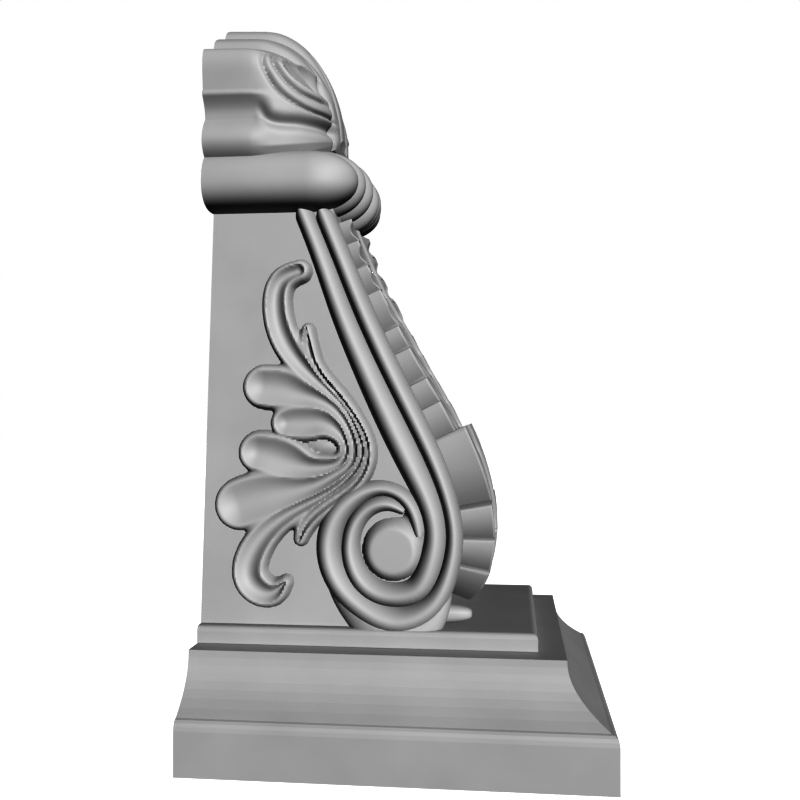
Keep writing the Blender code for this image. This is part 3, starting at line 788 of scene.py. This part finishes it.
class BRACKET_OT_carved_body(bpy.types.Operator):
    """Carve the scroll bracket: strands, side leaves, front leaf, collar and crown"""
    bl_idname = "bracket.carved_body"
    bl_label = "Carved Body"

    def execute(self, context):
        settings = context.scene.bracket_settings
        body = core_block()
        pieces = [front_leaf(settings), crown()] + collar() + side_leaves(settings) + eye_rise()
        pieces += side_relief(-1, settings) + side_relief(1, settings)
        combine(body, pieces, "UNION")
        combine(body, [cutting_block()], "INTERSECT")
        body.name = "carving"
        body.data.name = "carving"
        body.data.materials.clear()
        body.data.materials.append(
            sprayed_primer("primed_carving", settings.body_colour, PRIMER_ROUGHNESS))
        body.data.shade_smooth()
        body.data.set_sharp_from_angle(angle=math.radians(SHARP_ANGLE_DEG))
        body.visible_diffuse = False
        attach(body, "root")
        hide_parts("carved_body")
        return {"FINISHED"}


class BRACKET_OT_base(bpy.types.Operator):
    """Finish the slab and the moulded plinth"""
    bl_idname = "bracket.base"
    bl_label = "Slab and Plinth"

    def execute(self, context):
        settings = context.scene.bracket_settings
        for name in ("plinth_slab", "plinth"):
            material = sprayed_primer("primed_" + name, settings.base_colour, PRIMER_ROUGHNESS)
            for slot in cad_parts[name].material_slots:
                slot.material = material
        return {"FINISHED"}


class BRACKET_OT_stage(bpy.types.Operator):
    """Lay the pale floor, set the light and place the camera"""
    bl_idname = "bracket.stage"
    bl_label = "Stage"

    def execute(self, context):
        settings = context.scene.bracket_settings
        low, high = -FLOOR_REACH, FLOOR_REACH
        floor_mesh = bpy.data.meshes.new("floor")
        floor_mesh.from_pydata([(low, low, 0.0), (high, low, 0.0), (high, high, 0.0),
                                (low, high, 0.0)], [], [(0, 1, 2, 3)])
        floor = new_object("floor", floor_mesh)
        paper = sprayed_primer("backdrop_paper", settings.floor_colour, PAPER_ROUGHNESS)
        shader = paper.node_tree.nodes["Principled BSDF"]
        shader.inputs["Emission Color"].default_value = WHITE
        shader.inputs["Emission Strength"].default_value = FLOOR_GLOW
        floor.data.materials.append(paper)
        floor.visible_diffuse = False
        floor.visible_glossy = False
        key_data = bpy.data.lights.new("key", "SUN")
        key_data.energy = KEY_STRENGTH
        key_data.angle = math.radians(KEY_SPREAD_DEG)
        key_data.use_shadow = False
        key = new_object("key", key_data)
        key.rotation_euler = Vector(KEY_FROM).to_track_quat("Z", "Y").to_euler()
        world = bpy.data.worlds.new("studio")
        world.use_nodes = True
        tree = world.node_tree
        path = add_node(tree, "ShaderNodeLightPath", {}, {})
        strength = add_node(tree, "ShaderNodeMapRange",
                            {"To Min": FILL_STRENGTH, "To Max": BACKDROP_STRENGTH},
                            {"Value": path.outputs["Is Camera Ray"]})
        tree.links.new(strength.outputs["Result"], tree.nodes["Background"].inputs["Strength"])
        tree.nodes["Background"].inputs["Color"].default_value = WHITE
        context.scene.world = world
        context.scene.view_settings.view_transform = "Standard"
        context.scene.view_settings.gamma = VIEW_GAMMA
        camera_data = bpy.data.cameras.new("photo_view")
        camera_data.lens = CAMERA_LENS_MM
        camera_data.sensor_width = CAMERA_SENSOR_MM
        camera_data.clip_start = CAMERA_NEAREST
        camera = new_object("photo_view", camera_data)
        camera.location = CAMERA_PLACE
        camera.rotation_euler = [math.radians(angle) for angle in CAMERA_TURN_DEG]
        context.scene.camera = camera
        return {"FINISHED"}


class BRACKET_PT_panel(bpy.types.Panel):
    """Sizes, colours and steps of the bracket"""
    bl_idname = "BRACKET_PT_panel"
    bl_label = "Carved Bracket"
    bl_space_type = "VIEW_3D"
    bl_region_type = "UI"
    bl_category = "Bracket"

    def draw(self, context):
        settings = context.scene.bracket_settings
        for key in settings.bl_rna.properties.keys():
            if key not in ("rna_type", "name"):
                self.layout.prop(settings, key)
        for operator in OPERATORS:
            self.layout.operator(operator.bl_idname)


OPERATORS = (BRACKET_OT_carved_body, BRACKET_OT_base, BRACKET_OT_stage)
CLASSES = (BracketSettings, *OPERATORS, BRACKET_PT_panel)


def register():
    for item in CLASSES:
        bpy.utils.register_class(item)
    bpy.types.Scene.bracket_settings = PointerProperty(type=BracketSettings)


def unregister():
    del bpy.types.Scene.bracket_settings
    for item in reversed(CLASSES):
        bpy.utils.unregister_class(item)


def main():
    register()
    bpy.ops.bracket.carved_body()
    bpy.ops.bracket.base()
    bpy.ops.bracket.stage()


if __name__ == "__main__":
    main()
